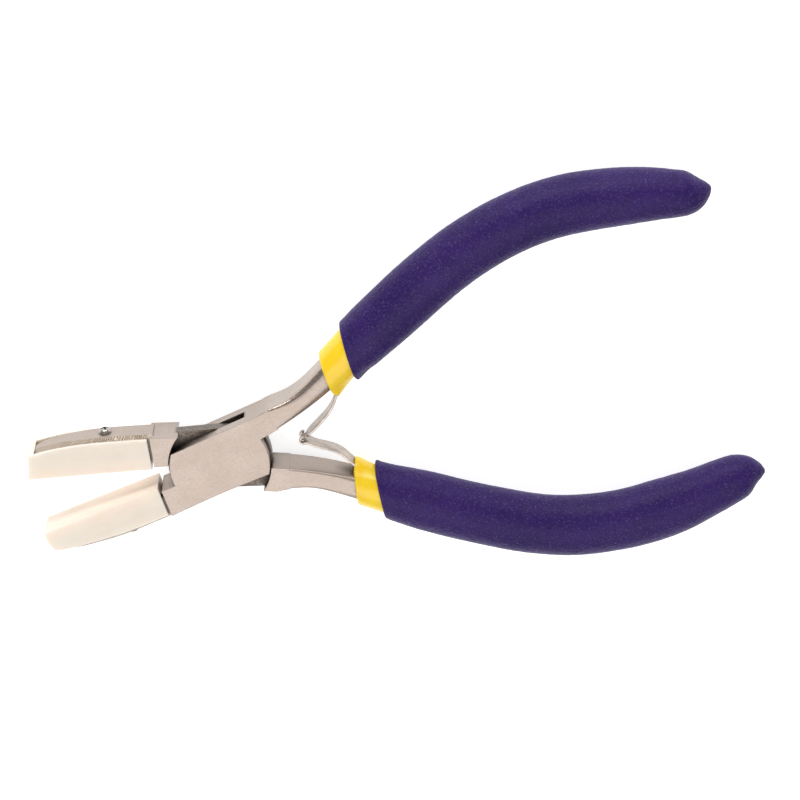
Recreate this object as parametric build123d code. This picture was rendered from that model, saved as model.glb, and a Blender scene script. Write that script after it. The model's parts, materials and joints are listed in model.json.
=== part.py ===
from build123d import *
import os
from math import radians, cos, sin, tan, sqrt, hypot

# Flat nylon-jaw pliers with a box joint, in millimetres.
# The tool lies flat: X runs along its centre line towards the handles, Y across it,
# Z through its thickness. The origin is on the pivot axis, at the back face of the joint.
# The "box" lever is the slotted one (lower jaw, both cheeks, upper handle).
# The "tongue" lever passes through the slot (upper jaw, tongue, lower handle).

# ------------------------------------------------------------------ dimensions
T = 7.8                 # thickness of both levers at the joint
ZM = T / 2              # middle plane
HALF_OPEN = 9.0         # each jaw stands this many degrees off the centre line at rest
CLAMP = 0.5             # clamping plane above the pivot axis, towards the upper jaw

R_CHEEK = 10.1 - 0.3    # round ends of the cheeks
R_SHOULDER = 10.1       # shoulders of the tongue lever around the cheeks
R_TONGUE = 10.25        # tongue disc
R_SLOT = 10.4           # slot in the box lever
TONGUE_T = 2.6          # tongue thickness
SLOT_T = 2.7            # slot thickness
RIVET_R = 2.5           # pivot rivet, pressed into both cheeks
RIVET_CLEAR = 0.05      # running clearance in the tongue

CORE_HALF_Z = 3.3       # steel jaw core, half width
CORE_FLOOR = 2.4        # nylon under the core, above the clamping face
CORE_TIP = -36.3        # end of the steel core
PAD_HALF_Z = 3.95       # nylon shoe, half width
PAD_BASE = -13.2        # base end of the nylon shoe

SCREW_X = -21.9         # jaw screw along the jaw
SCREW_HEAD_R, SCREW_HEAD_H = 1.2, 1.05
SCREW_R, SCREW_CORE_HOLE = 0.7, 0.8
SCREW_TIP_H = 0.9       # screw tip above the clamping face

LEAF_T = 0.5            # leaf spring thickness
LEAF_W = 3.8            # leaf spring width
EYE = (16.85, 0.3)      # where the two leaves interlock
EYE_R, EYE_HOLE_R = 0.9, 0.46
SPRING_RIVET_R = 0.7

os.makedirs("parts", exist_ok=True)


# ------------------------------------------------------------------ helpers
def jaw_pt(side, x, height):
    """Row position of a point given along the jaw and above its clamping face."""
    h = height + CLAMP if side > 0 else height - CLAMP
    a = radians(HALF_OPEN)
    return (x * cos(a) + h * sin(a), side * (-x * sin(a) + h * cos(a)))


def smooth(rows, x):
    """Monotone cubic values of every column of rows (x, v1, v2, ...) at x."""
    n = len(rows)
    x = min(max(x, rows[0][0]), rows[-1][0])
    k = max(i for i in range(n - 1) if rows[i][0] <= x)
    out = []
    for c in range(1, len(rows[0])):
        d = [(rows[i + 1][c] - rows[i][c]) / (rows[i + 1][0] - rows[i][0]) for i in range(n - 1)]
        m = [d[0]] + [0.0 if d[i - 1] * d[i] <= 0 else 2 * d[i - 1] * d[i] / (d[i - 1] + d[i]) for i in range(1, n - 1)] + [d[-1]]
        h = rows[k + 1][0] - rows[k][0]
        u = (x - rows[k][0]) / h
        out.append(
            rows[k][c] * (1 + 2 * u) * (1 - u) ** 2 + h * m[k] * u * (1 - u) ** 2
            + rows[k + 1][c] * u * u * (3 - 2 * u) - h * m[k + 1] * u * u * (1 - u)
        )
    return out


def stations(rows, step=5.5, close_end=False):
    """Evenly spaced stations between the first and last row; they close up at a rounded tip."""
    x0, x1 = rows[0][0], rows[-1][0]
    if not close_end:
        n = max(3, round((x1 - x0) / step))
        return [x0 + (x1 - x0) * i / n for i in range(n + 1)]
    n = max(3, round((x1 - 9 - x0) / step))
    xs = [x0 + (x1 - 9 - x0) * i / n for i in range(n + 1)]
    gap, x = step, x1 - 9
    for f in (0.42, 0.68, 0.84, 0.94, 1.0):
        xs.append(x1 - 9 + 9 * f)
    return xs


def slab(face, z0, z1):
    """Extrude a sketch face from height z0 to z1."""
    return extrude(Pos(0, 0, z0) * face, amount=z1 - z0, dir=(0, 0, 1))


def outline(*parts):
    edges = []
    for p in parts:
        edges += list(p.edges())
    return make_face(Wire(edges))


def poly_face(pts):
    return make_face(Polyline(*[(p[0], p[1]) for p in pts], close=True))


def disc(r, z0, z1, at=(0, 0)):
    return Pos(at[0], at[1], z0) * Cylinder(r, z1 - z0, align=(Align.CENTER, Align.CENTER, Align.MIN))


def section(line, x, shape):
    """A sketch face on the plane square to the handle line where the line reaches x."""
    lo, hi = 0.0, 1.0
    for _ in range(40):
        mid = (lo + hi) / 2
        if line.position_at(mid).X < x:
            lo = mid
        else:
            hi = mid
    p = line.position_at(lo)
    t = line.tangent_at(lo)
    plane = Plane(origin=(p.X, p.Y, ZM), x_dir=(-t.Y, t.X, 0), z_dir=(t.X, t.Y, 0))
    return plane * shape


def tube(line, rows):
    """Loft ellipses of half width a (in plane) and half height b along the handle line."""
    return loft([section(line, x, Ellipse(*smooth(rows, x))) for x in stations(rows, close_end=True)])


def bar(line, rows):
    """Loft rounded rectangles of width w and height h with corner radius r."""
    return loft([section(line, x, RectangleRounded(*smooth(rows, x))) for x in stations(rows)])


def strip(points, thick, z0, z1):
    """A bent strip of even thickness along a smooth line through points."""
    line = Spline(*points)
    n = 24
    left, right = [], []
    for i in range(n + 1):
        p, t = line.position_at(i / n), line.tangent_at(i / n)
        left.append((p.X - t.Y * thick / 2, p.Y + t.X * thick / 2))
        right.append((p.X + t.Y * thick / 2, p.Y - t.X * thick / 2))
    right.reverse()
    face = outline(Spline(*left), Line(left[-1], right[0]), Spline(*right), Line(right[-1], left[0]))
    return slab(face, z0, z1)


def fold(points, thick, width):
    """The rounded ridge that a dipped sleeve makes over the leaf's root."""
    body = strip(points, thick, ZM - width / 2, ZM + width / 2)
    long_edges = [e for e in body.edges() if e.length > 4]
    return fillet(long_edges, thick * 0.42)


def beyond(x, tilt, side):
    """The half space at greater X than a cut plane leaning by tilt degrees."""
    big = Box(200, 200, 60, align=(Align.MIN, Align.CENTER, Align.CENTER))
    return Pos(x, side * 12.5, ZM) * Rot(0, 0, side * tilt) * big


def one(shape):
    """The single solid of a result."""
    return max(shape.solids(), key=lambda s: s.volume)


# ------------------------------------------------------------------ jaw profiles
# height above the clamping face, at distances along the jaw
OUTER = [(-12.4, 6.82), (-17.5, 7.0), (-22.8, 7.03), (-27.3, 6.85), (-31.6, 6.38), (-34.0, 5.8), (CORE_TIP + 0.4, 5.1)]
# the outer face narrows and its ground bands widen towards the tip: half width in z, drop of the band
BANDS = [(CORE_TIP, 1.05, 0.45), (-34.0, 1.35, 0.5), (-31.6, 1.65, 0.55), (-27.3, 2.2, 0.6), (-22.8, 2.47, 0.65), (-12.4, 2.5, 0.62)]
# the two shoes are trimmed a little differently at the tip
RIM = {
    1: [(PAD_BASE - 0.4, 6.3), (-18.8, 6.42), (-22.7, 6.45), (-27.2, 6.34), (-31.4, 5.96), (-33.5, 5.65), (-35.5, 5.3), (-36.7, 5.08)],
    -1: [(PAD_BASE - 0.4, 6.12), (-19.5, 6.22), (-24.0, 6.08), (-30.0, 5.55), (-33.5, 5.12), (-35.6, 4.8), (-36.6, 4.6)],
}
TIP = {1: [(-37.0, 4.85), (-37.12, 4.4), (-37.58, 0.0)], -1: [(-37.3, 4.15), (-37.75, 3.1), (-37.88, 1.7), (-37.7, 0.0)]}


def jaw_core(side):
    top = Spline(*[jaw_pt(side, x, h) for x, h in OUTER])
    end = OUTER[-1]
    low = jaw_pt(side, CORE_TIP, CORE_FLOOR)
    mid = jaw_pt(side, CORE_TIP, end[1] - 0.8)
    base = jaw_pt(side, OUTER[0][0], CORE_FLOOR)
    face = outline(
        top,
        Line(jaw_pt(side, *end), mid),
        Line(mid, low),
        Line(low, base),
        Line(base, jaw_pt(side, *OUTER[0])),
    )
    core = slab(face, ZM - CORE_HALF_Z, ZM + CORE_HALF_Z)
    return bevel_long(core, side)


def bevel_long(core, side):
    """Bevel the two long outer edges: a shallow ground band down each side."""
    for sign in (1, -1):
        n = 28
        rows = []
        top = Spline(*[(x, h) for x, h in OUTER])
        for i in range(n + 1):
            p = top.position_at(i / n)
            rows.append((p.X, p.Y))
        # wedge prism sections along the outer curve
        secs = []
        for i in range(0, n + 1, 4):
            x, h = rows[i]
            flat, drop = smooth(BANDS, x)
            slope = drop / (CORE_HALF_Z - flat)
            p = jaw_pt(side, x, h)
            a = radians(HALF_OPEN)
            out = (sin(a), side * cos(a), 0)
            along = (cos(a), -side * sin(a), 0)
            pl = Plane(origin=(p[0], p[1], ZM), x_dir=(0, 0, 1), z_dir=along)
            # local x is +Z, local y is z_dir cross x_dir
            yd = pl.y_dir
            s = 1 if yd.X * out[0] + yd.Y * out[1] > 0 else -1
            pts = [
                (sign * flat, 0.0),
                (sign * CORE_HALF_Z, s * -drop),
                (sign * (CORE_HALF_Z + 0.6), s * -(drop + 0.6 * slope)),
                (sign * (CORE_HALF_Z + 0.6), s * 1.0),
                (sign * flat, s * 1.0),
            ]
            secs.append(pl * make_face(Polyline(*pts, close=True)))
        core = core - loft(secs)
    return core


def pad(side, core):
    rim = Spline(*[jaw_pt(side, x, h) for x, h in RIM[side]])
    tip = [jaw_pt(side, x, h) for x, h in TIP[side]]
    b0 = jaw_pt(side, PAD_BASE, 0.0)
    b1 = jaw_pt(side, *RIM[side][0])
    runs = [Line(a, b) for a, b in zip([jaw_pt(side, *RIM[side][-1])] + tip, tip + [b0])]
    face = outline(rim, *runs, Line(b0, b1))
    return slab(face, ZM - PAD_HALF_Z, ZM + PAD_HALF_Z)


def on_jaw(side, x, height, shape):
    """Stand a shape whose +Z points outwards on the jaw at the given spot."""
    p = jaw_pt(side, x, height)
    a = radians(HALF_OPEN)
    out = (sin(a), side * cos(a), 0)
    along = (cos(a), -side * sin(a), 0)
    return Plane(origin=(p[0], p[1], ZM), x_dir=along, z_dir=out) * shape


def jaw_screw(side):
    up = smooth(sorted(OUTER), SCREW_X)[0]
    length = up - SCREW_TIP_H
    stem = Cylinder(SCREW_R, length, align=(Align.CENTER, Align.CENTER, Align.MAX))
    stem = stem - Pos(0, 0, -length) * (Cylinder(2, 0.5, align=(Align.CENTER, Align.CENTER, Align.MIN)) - Cone(0.2, SCREW_R, 0.5, align=(Align.CENTER, Align.CENTER, Align.MIN)))
    r, h = SCREW_HEAD_R, SCREW_HEAD_H
    head = revolve(
        make_face([
            Line((0, 0, -0.05), (r, 0, -0.05)),
            Line((r, 0, -0.05), (r, 0, 0.35 * h)),
            ThreePointArc((r, 0, 0.35 * h), (0.72 * r, 0, 0.83 * h), (0, 0, h)),
            Line((0, 0, h), (0, 0, -0.05)),
        ]),
        axis=Axis.Z,
    )
    body = stem + head
    for turn in (20, 110):
        body = body - Pos(0, 0, h) * Rot(0, 0, turn) * Box(1.6, 0.36, 1.0)
    return on_jaw(side, SCREW_X, up, body)


def screw_hole(side, r, low, high):
    c = Cylinder(r, high - low, align=(Align.CENTER, Align.CENTER, Align.MIN))
    return on_jaw(side, SCREW_X, low, c)


# ------------------------------------------------------------------ handle lines
UPPER = Spline(
    (9.6, 5.9), (11.3, 6.35), (14.1, 7.25), (17.3, 8.4), (20.6, 9.85), (23.7, 11.6), (27.5, 13.95), (33.07, 17.35), (41.66, 22.42),
    (50.43, 27.23), (59.52, 31.3), (69.2, 33.9), (79.18, 34.56), (89.14, 33.5), (95.5, 32.38), (99.5, 31.42), (102.5, 30.98), (105.5, 31.25),
)
LOWER = Spline(
    (9.4, -5.45), (11.4, -5.85), (14, -6.5), (16.3, -7.25), (18.5, -8.2), (20.75, -9.35), (23.5, -10.95), (27.5, -13.4), (33.1, -16.73), (41.75, -21.77),
    (50.6, -26.46), (59.8, -30.25), (69.6, -32.18), (79.6, -32.26), (89.5, -30.88), (94.0, -29.84), (98.0, -28.95), (100.3, -28.78), (102.8, -29.2),
)

BAR_UP = [
    (10.4, 4.45, 7.76, 0.3), (12.5, 4.3, 7.76, 0.35), (14.5, 4.2, 7.74, 0.7), (17.3, 4.1, 7.66, 1.2), (20.6, 4.4, 7.5, 1.7), (23.7, 5.1, 7.3, 2.1),
    (28, 5.4, 7.0, 2.2), (34, 5.6, 6.6, 2.2), (50, 5.6, 6.0, 2.1), (70, 5.4, 5.6, 2.0), (85, 5.0, 5.0, 1.9), (96, 3.8, 4.0, 1.5),
]
BAR_LOW = [
    (10.4, 4.6, 7.76, 0.3), (12.5, 4.3, 7.76, 0.35), (14.3, 3.95, 7.74, 0.4), (16.5, 3.7, 7.7, 0.45), (18.5, 3.65, 7.62, 0.5), (20.75, 3.9, 7.5, 0.6), (23.5, 4.5, 7.3, 0.85),
    (28, 5.1, 7.0, 1.6), (34, 5.5, 6.6, 2.2), (50, 5.6, 6.0, 2.1), (70, 5.4, 5.6, 2.0), (85, 4.8, 4.8, 1.8), (93.5, 3.6, 3.8, 1.5),
]
INNER_UP = [
    (20, 3.7, 4.15), (25, 4.0, 4.2), (30, 4.35, 4.3), (37, 4.85, 4.45), (60, 4.95, 4.5), (78, 5.0, 4.5),
    (88, 4.7, 4.2), (96, 4.1, 3.6), (100.5, 3.1, 2.8), (102.3, 1.9, 1.9), (102.9, 0.8, 0.9),
]
INNER_LOW = [
    (20, 3.8, 4.15), (24.5, 4.1, 4.2), (30, 4.4, 4.3), (37, 4.9, 4.45), (60, 5.0, 4.5), (78, 5.0, 4.5),
    (88, 4.5, 4.1), (94, 3.8, 3.5), (98, 2.9, 2.7), (99.8, 1.8, 1.8), (100.4, 0.8, 0.9),
]
GRIP_UP = [
    (24, 4.6, 4.65), (30, 4.95, 4.8), (33, 5.45, 5.05), (37.5, 5.75, 5.2), (50, 5.9, 5.2), (65, 5.9, 5.2), (79, 6.0, 5.2),
    (86, 5.8, 5.1), (92, 5.38, 4.85), (98, 4.78, 4.35), (100.5, 4.45, 4.05), (102.0, 3.9, 3.6), (103.2, 3.1, 2.95), (104.3, 2.05, 2.05), (105.1, 1.15, 1.2), (105.4, 0.6, 0.65),
]
GRIP_LOW = [
    (23, 4.7, 4.65), (29, 5.1, 4.8), (33, 5.65, 5.05), (37.5, 5.95, 5.2), (50, 6.05, 5.2), (65, 6.1, 5.2), (79, 6.05, 5.2),
    (85, 5.8, 5.1), (90, 5.3, 4.85), (95, 4.83, 4.45), (97.5, 4.5, 4.15), (99.0, 3.97, 3.7), (100.3, 3.15, 3.0), (101.4, 2.15, 2.1), (102.3, 1.2, 1.25), (102.7, 0.6, 0.65),
]

# ------------------------------------------------------------------ leaf springs
LEAF_UP = [(17.75, 0.78), (20.0, 2.3), (22.0, 3.68), (23.6, 5.05), (24.6, 6.25), (25.5, 7.7), (28.3, 10.9), (32.6, 14.15)]
LEAF_LOW = [(17.2, -0.35), (18.85, -1.42), (20.65, -2.45), (22.05, -3.27), (23.1, -4.15), (24.05, -5.35), (24.85, -6.65), (27.65, -9.8), (32.0, -13.1)]

leaf_up = strip(LEAF_UP, LEAF_T, ZM - LEAF_W / 2, ZM + LEAF_W / 2)
# neck that reaches into the slot of the lower leaf's eye, with a cross ear beyond it
neck = strip([(18.3, 1.15), LEAF_UP[0], (17.3, 0.5), (16.9, 0.3)], 0.36, ZM - 1.0, ZM + 1.0)
leaf_up = leaf_up + neck + disc(0.3, ZM - 1.75, ZM + 1.75, EYE)
leaf_low = strip(LEAF_LOW, LEAF_T, ZM - LEAF_W / 2, ZM + LEAF_W / 2)
eye = disc(EYE_R, ZM - LEAF_W / 2, ZM + LEAF_W / 2, EYE)
eye_hole = disc(EYE_HOLE_R, 0, T, EYE)
# window in the rolled eye where the neck of the other leaf comes out
window = Pos(EYE[0] + 0.75, EYE[1] + 0.62, ZM) * Rot(0, 0, 34) * Box(1.5, 1.15, 2.3)
leaf_low = leaf_low + eye - eye_hole - window

# ------------------------------------------------------------------ box lever
a = radians(HALF_OPEN)
BOX_TOP = [(-8.7, 4.7), (-1.8, 6.05), (6.8, 7.75), (10.6, 8.5), (11.85, 8.82)]
box_pts_right = [(13.1, 4.68), (11.3, 4.1), (10.2, 3.75), (9.15, 3.45)]
box_pts_low = [(8.8, -4.0), (0, -5.55), (-4, -6.35), (-8, -7.2)]
jaw_out = jaw_pt(-1, -13.0, 6.6)
jaw_in = jaw_pt(-1, -12.75, 0.98)
jaw_step = (-9.55, -2.0)


def on_r(x, y, r):
    d = hypot(x, y)
    return (x * r / d, y * r / d)


r_tl, r_bl = on_r(-8.75, 4.7, R_CHEEK), on_r(-9.55, -2.0, R_CHEEK)
r_tr, r_br = on_r(9.2, 3.45, R_CHEEK), on_r(8.8, -4.05, R_CHEEK)
box_face = outline(
    Polyline(r_tl, *BOX_TOP[1:], *box_pts_right[:-1], r_tr),
    ThreePointArc(r_tr, (R_CHEEK, 0), r_br),
    Polyline(r_br, *box_pts_low[1:], jaw_out, jaw_in, r_bl),
    ThreePointArc(r_bl, (-R_CHEEK, 0), r_tl),
)
box = slab(box_face, 0, T)
core_b = jaw_core(-1)
bar_b = bar(UPPER, BAR_UP)
slot = disc(R_SLOT, ZM - SLOT_T / 2, ZM + SLOT_T / 2)
box = box + core_b
box = box - slot
box = box + (bar_b - disc(R_SLOT, -1, T + 1))
box = box - disc(RIVET_R, -1, T + 1)
box = box - screw_hole(-1, SCREW_CORE_HOLE, 0, 9)
box_lever = one(box)

# ------------------------------------------------------------------ tongue lever
t_out = jaw_pt(1, -13.05, 6.6)
t_in = jaw_pt(1, -12.75, 0.5)
t_in2 = jaw_pt(1, -9.95, 0.4)
t_top2 = jaw_pt(1, -7.1, 6.2)
block = outline(Polyline(t_out, t_in, t_in2, (-6.0, 3.0), (-4.5, 7.4), t_top2, t_out))
block = slab(block, 0, T) - disc(R_SHOULDER, -1, T + 1)
shank_plate = outline(Polyline((4.0, -3.0), (9.9, -3.05), (13.02, -4.02), (11.95, -8.2), (9.4, -8.1), (6.6, -7.2), (4.0, -3.0)))
shank_plate = slab(shank_plate, 0, T) - disc(R_SHOULDER, -1, T + 1)
tongue_face = outline(Polyline((-11.5, 8.95), (-7.2, 8.05), (0, 6.95), (5.5, 6.0), (12, 2.0), (12, -4.5), (9.4, -7.9), (6.6, -7.25), (2.2, -6.3), (-5.0, -4.8), (-9.9, -1.0), (-12.3, 3.1), (-12.6, 8.6), (-11.5, 8.95)))
tongue = slab(tongue_face, ZM - TONGUE_T / 2, ZM + TONGUE_T / 2)
tongue = tongue & disc(R_TONGUE, -1, T + 1)
core_a = jaw_core(1)
bar_a = bar(LOWER, BAR_LOW) - disc(R_SHOULDER + 0.2, -1, T + 1)
tl = block + core_a
tl = tl + shank_plate
tl = tl + bar_a
tl = tl + tongue
tl = tl - disc(RIVET_R + RIVET_CLEAR, -1, T + 1)
tl = tl - screw_hole(1, SCREW_CORE_HOLE, 0, 9)
tongue_lever = one(tl)

pivot_rivet = disc(RIVET_R, 0, T)

# ------------------------------------------------------------------ shoes and screws
pads, screws = {}, {}
for side, name, core in ((1, "upper", core_a), (-1, "lower", core_b)):
    sc = jaw_screw(side)
    p = pad(side, core) - core
    p = p - screw_hole(side, SCREW_R, SCREW_TIP_H, 9)
    pads[name] = one(p)
    screws[name] = one(sc)

# ------------------------------------------------------------------ sleeves, grips, spring rivets
sleeves, grips, rivets = {}, {}, {}
for side, name, line, bars, inner, outer, leaf, leaf_pts, cuts in (
    (1, "upper", UPPER, bar_b, INNER_UP, GRIP_UP, leaf_up, LEAF_UP, ((24.65, 7), (30.1, 3))),
    (-1, "lower", LOWER, bar(LOWER, BAR_LOW), INNER_LOW, GRIP_LOW, leaf_low, LEAF_LOW, ((24.25, 10), (28.8, 4))),
):
    full_inner = tube(line, inner)
    root = [leaf_pts[-5], leaf_pts[-4], leaf_pts[-3], leaf_pts[-2], leaf_pts[-1]]
    full_inner = full_inner + fold(root, LEAF_T + 1.3, LEAF_W + 1.3)
    inner_cut = full_inner & beyond(cuts[0][0], cuts[0][1], side)
    full_outer = tube(line, outer) + fold(root, LEAF_T + 2.4, LEAF_W + 2.6)
    full_outer = full_outer & beyond(cuts[1][0], cuts[1][1], side)
    g = full_outer - full_inner
    grips[name] = one(g)
    s = inner_cut - bars
    s = s - leaf
    # small rivet holding the leaf to the handle bar, under the sleeve
    p0, p1 = leaf_pts[-2], leaf_pts[-1]
    c = (p0[0] + 0.55 * (p1[0] - p0[0]), p0[1] + 0.55 * (p1[1] - p0[1]))
    d = hypot(p1[0] - p0[0], p1[1] - p0[1])
    nrm = (-(p1[1] - p0[1]) / d * side, (p1[0] - p0[0]) / d * side, 0)
    pl = Plane(origin=(c[0] - nrm[0] * 0.55, c[1] - nrm[1] * 0.55, ZM), x_dir=(0, 0, 1), z_dir=nrm)
    rv = pl * Cylinder(SPRING_RIVET_R, 2.6, align=(Align.CENTER, Align.CENTER, Align.MIN))
    rivets[name] = rv
    sleeves[name] = s - rv

box_lever = one(box_lever - rivets["upper"] - screws["lower"])
tongue_lever = one(tongue_lever - rivets["lower"] - screws["upper"])
leaf_up = one(leaf_up - rivets["upper"] - box_lever)
leaf_low = one(leaf_low - rivets["lower"] - tongue_lever)

NODES = {
    "box_lever": box_lever,
    "tongue_lever": tongue_lever,
    "pivot_rivet": pivot_rivet,
    "upper_jaw_pad": pads["upper"],
    "lower_jaw_pad": pads["lower"],
    "upper_jaw_screw": screws["upper"],
    "lower_jaw_screw": screws["lower"],
    "upper_inner_sleeve": one(sleeves["upper"]),
    "lower_inner_sleeve": one(sleeves["lower"]),
    "upper_grip": grips["upper"],
    "lower_grip": grips["lower"],
    "upper_leaf_spring": leaf_up,
    "lower_leaf_spring": leaf_low,
    "upper_spring_rivet": rivets["upper"],
    "lower_spring_rivet": rivets["lower"],
}
for name, shape in NODES.items():
    export_step(shape, f"parts/{name}.step")
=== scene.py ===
import bpy, bmesh, json, math
from mathutils import Vector, Matrix, noise

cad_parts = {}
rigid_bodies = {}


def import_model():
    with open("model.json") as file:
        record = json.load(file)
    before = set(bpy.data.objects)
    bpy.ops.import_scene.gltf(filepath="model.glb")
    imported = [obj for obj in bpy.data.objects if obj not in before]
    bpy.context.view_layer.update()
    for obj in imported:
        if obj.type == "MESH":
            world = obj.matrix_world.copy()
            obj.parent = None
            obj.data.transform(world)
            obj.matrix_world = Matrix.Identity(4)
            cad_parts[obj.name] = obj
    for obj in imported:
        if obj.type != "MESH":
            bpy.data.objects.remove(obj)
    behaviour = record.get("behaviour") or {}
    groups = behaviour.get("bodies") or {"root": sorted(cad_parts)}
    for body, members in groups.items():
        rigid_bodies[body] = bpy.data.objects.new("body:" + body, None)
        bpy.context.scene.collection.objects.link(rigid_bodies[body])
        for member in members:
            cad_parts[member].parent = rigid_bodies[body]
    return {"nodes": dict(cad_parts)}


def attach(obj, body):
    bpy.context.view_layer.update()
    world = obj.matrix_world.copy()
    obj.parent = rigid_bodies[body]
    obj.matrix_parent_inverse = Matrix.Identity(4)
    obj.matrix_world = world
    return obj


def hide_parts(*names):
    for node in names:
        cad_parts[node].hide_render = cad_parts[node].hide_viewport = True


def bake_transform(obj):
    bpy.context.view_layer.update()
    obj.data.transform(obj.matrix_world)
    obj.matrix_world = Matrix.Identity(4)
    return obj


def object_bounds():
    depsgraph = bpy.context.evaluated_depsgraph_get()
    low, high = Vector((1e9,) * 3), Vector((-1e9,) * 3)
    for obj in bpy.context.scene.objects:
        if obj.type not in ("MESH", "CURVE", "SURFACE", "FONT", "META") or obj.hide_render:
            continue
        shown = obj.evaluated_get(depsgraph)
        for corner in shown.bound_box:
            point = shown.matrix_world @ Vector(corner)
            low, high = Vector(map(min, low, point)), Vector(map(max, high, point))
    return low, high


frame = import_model()
cad_lo, cad_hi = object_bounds()
MM = 0.001
ZM = 3.9                      # middle plane of the joint, mm
HALF_OPEN = math.radians(9.0)
CLAMP = 0.5

for o in list(bpy.data.objects):
    if o.type in {"LIGHT", "CAMERA"}:
        bpy.data.objects.remove(o)


# ---------------------------------------------------------------- material helpers
class Mat:
    """A node material with short calls. Coordinates are object coordinates in millimetres."""

    def __init__(self, name):
        self.m = bpy.data.materials.new(name)
        self.m.use_nodes = True
        self.t = self.m.node_tree
        self.bsdf = next(n for n in self.t.nodes if n.type == "BSDF_PRINCIPLED")
        tc = self.t.nodes.new("ShaderNodeTexCoord")
        self.obj = tc.outputs["Object"]
        self.nrm = tc.outputs["Normal"]
        self.p = self.vec("SCALE", self.obj, scale=1000.0)

    def node(self, kind, ins=None, **attrs):
        n = self.t.nodes.new(kind)
        for k, v in attrs.items():
            setattr(n, k, v)
        for k, v in (ins or {}).items():
            s = n.inputs[k]
            if isinstance(v, bpy.types.NodeSocket):
                self.t.links.new(v, s)
            else:
                s.default_value = v
        return n

    def vec(self, op, a, b=None, scale=None):
        n = self.node("ShaderNodeVectorMath", {0: a}, operation=op)
        if b is not None:
            if isinstance(b, bpy.types.NodeSocket):
                self.t.links.new(b, n.inputs[1])
            else:
                n.inputs[1].default_value = b
        if scale is not None:
            n.inputs["Scale"].default_value = scale
        return n.outputs[0]

    def math(self, op, a, b=0.0, c=0.0, clamp=False):
        n = self.node("ShaderNodeMath", {0: a, 1: b, 2: c}, operation=op, use_clamp=clamp)
        return n.outputs[0]

    def sep(self, v):
        n = self.node("ShaderNodeSeparateXYZ", {0: v})
        return n.outputs[0], n.outputs[1], n.outputs[2]

    def comb(self, x, y, z):
        return self.node("ShaderNodeCombineXYZ", {0: x, 1: y, 2: z}).outputs[0]

    def noise(self, v, scale, detail=3.0, rough=0.5, distort=0.0):
        return self.node("ShaderNodeTexNoise", {"Vector": v, "Scale": scale, "Detail": detail, "Roughness": rough, "Distortion": distort}).outputs[0]

    def voronoi(self, v, scale, out="Distance", feature="F1", rnd=1.0):
        return self.node("ShaderNodeTexVoronoi", {"Vector": v, "Scale": scale, "Randomness": rnd}, feature=feature).outputs[out]

    def ramp(self, f, lo, hi, a=0.0, b=1.0, smooth=True):
        n = self.node("ShaderNodeMapRange", {"Value": f, "From Min": lo, "From Max": hi, "To Min": a, "To Max": b})
        n.interpolation_type = "SMOOTHSTEP" if smooth else "LINEAR"
        return n.outputs[0]

    def mix(self, f, a, b):
        n = self.node("ShaderNodeMix", data_type="RGBA")
        for i, v in ((0, f), (6, a), (7, b)):
            if isinstance(v, bpy.types.NodeSocket):
                self.t.links.new(v, n.inputs[i])
            else:
                n.inputs[i].default_value = v if i == 0 else (*v, 1.0)
        return n.outputs[2]

    def bump(self, h, dist, strength=1.0, normal=None):
        n = self.node("ShaderNodeBump", {"Height": h, "Distance": dist, "Strength": strength})
        if normal is not None:
            self.t.links.new(normal, n.inputs["Normal"])
        return n.outputs[0]

    def edge(self, radius, samples=6):
        return self.node("ShaderNodeBevel", {"Radius": radius}, samples=samples).outputs[0]

    def set(self, **kw):
        names = {
            "color": "Base Color", "metal": "Metallic", "rough": "Roughness", "normal": "Normal", "ior": "IOR",
            "spec": "Specular IOR Level", "coat": "Coat Weight", "coat_rough": "Coat Roughness", "sheen": "Sheen Weight",
            "sheen_rough": "Sheen Roughness", "sss": "Subsurface Weight", "sss_radius": "Subsurface Radius", "sss_scale": "Subsurface Scale",
            "aniso": "Anisotropic", "trans": "Transmission Weight", "sheen_tint": "Sheen Tint", "coat_tint": "Coat Tint",
        }
        for k, v in kw.items():
            s = self.bsdf.inputs[names[k]]
            if isinstance(v, bpy.types.NodeSocket):
                self.t.links.new(v, s)
            else:
                s.default_value = (*v, 1.0) if k in ("color", "sheen_tint", "coat_tint") and len(v) == 3 else v
        return self.m


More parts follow.
